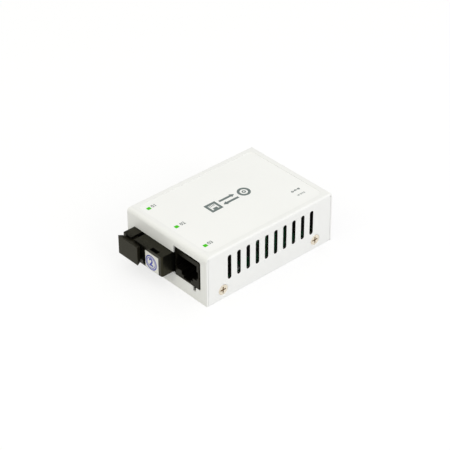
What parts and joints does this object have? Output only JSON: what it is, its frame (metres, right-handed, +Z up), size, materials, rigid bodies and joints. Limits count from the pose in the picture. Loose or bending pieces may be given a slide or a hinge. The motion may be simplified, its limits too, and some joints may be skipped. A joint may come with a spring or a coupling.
{
  "type": "fibre media converter",
  "caption": "Small folded-steel box that converts copper network cable to optical fibre, with a jack, an optical port under a pull-off dust cap, side vents and indicator windows.",
  "frame": {"origin": "bottom centre of the whole object with its dust cap on, on the plane it stands on", "axes": "+Z up, +Y from the port face towards the power socket, +X towards the jack's side"},
  "size_m": [0.05, 0.0792, 0.024],
  "materials": {
    "cover_coat": "satin powder coat, warm white",
    "tray_coat": "satin powder coat, warm white",
    "case_screw_metal": "nickel plate with a warm tint",
    "film_white": "printed film, satin",
    "standoff_metal": "zinc plate",
    "board_screw_metal": "zinc plate",
    "board_green": "solder resist over laminate",
    "jack_plastic": "moulded, satin",
    "contact_gold": "gold flash",
    "block_plastic": "moulded, satin",
    "tinned_metal": "tin plate",
    "barrel_metal": "turned stainless steel",
    "ceramic_white": "polished ceramic",
    "clip_plastic": "moulded, satin",
    "label_paper": "coated paper",
    "cap_plastic": "moulded, fine texture",
    "socket_plastic": "moulded, satin",
    "socket_metal": "nickel plate",
    "lamp_body": "clear resin on white",
    "guide_green": "tinted clear moulding",
    "chip_plastic": "moulded epoxy",
    "crystal_metal": "drawn can",
    "can_metal": "drawn can",
    "ferrite_grey": "sintered ferrite",
    "capacitor_tan": "fired ceramic",
    "resistor_black": "glazed film"
  },
  "bodies": {
    "case": {"top_cover": "cover_coat", "base_tray": "tray_coat", "case_screws": "case_screw_metal", "label_film": "film_white", "board_standoffs": "standoff_metal", "board_screws": "board_screw_metal", "circuit_board": "board_green", "jack_housing": "jack_plastic", "jack_contacts": "contact_gold", "transceiver_housing": "block_plastic", "transceiver_board": "board_green", "transceiver_pins": "tinned_metal", "optical_barrel": "barrel_metal", "alignment_sleeve": "ceramic_white", "ferrule_stub": "ceramic_white", "port_latch_clip": "clip_plastic", "transceiver_label": "label_paper", "socket_housing": "socket_plastic", "socket_pin": "socket_metal", "socket_spring": "socket_metal", "led_chips": "lamp_body", "light_guide": "guide_green", "network_transformer": "chip_plastic", "transformer_leads": "tinned_metal", "converter_chip": "chip_plastic", "crystal": "crystal_metal", "electrolytic_capacitors": "can_metal", "power_inductor": "ferrite_grey", "voltage_regulator": "chip_plastic", "chip_capacitors": "capacitor_tan", "chip_resistors": "resistor_black"},
    "cap": {"dust_cap": "cap_plastic"}
  },
  "joints": [
    {"name": "cap_slide", "type": "slide", "parent": "case", "child": "cap", "axis": [0, -1, 0], "range_m": [0, 0.025]}
  ]
}
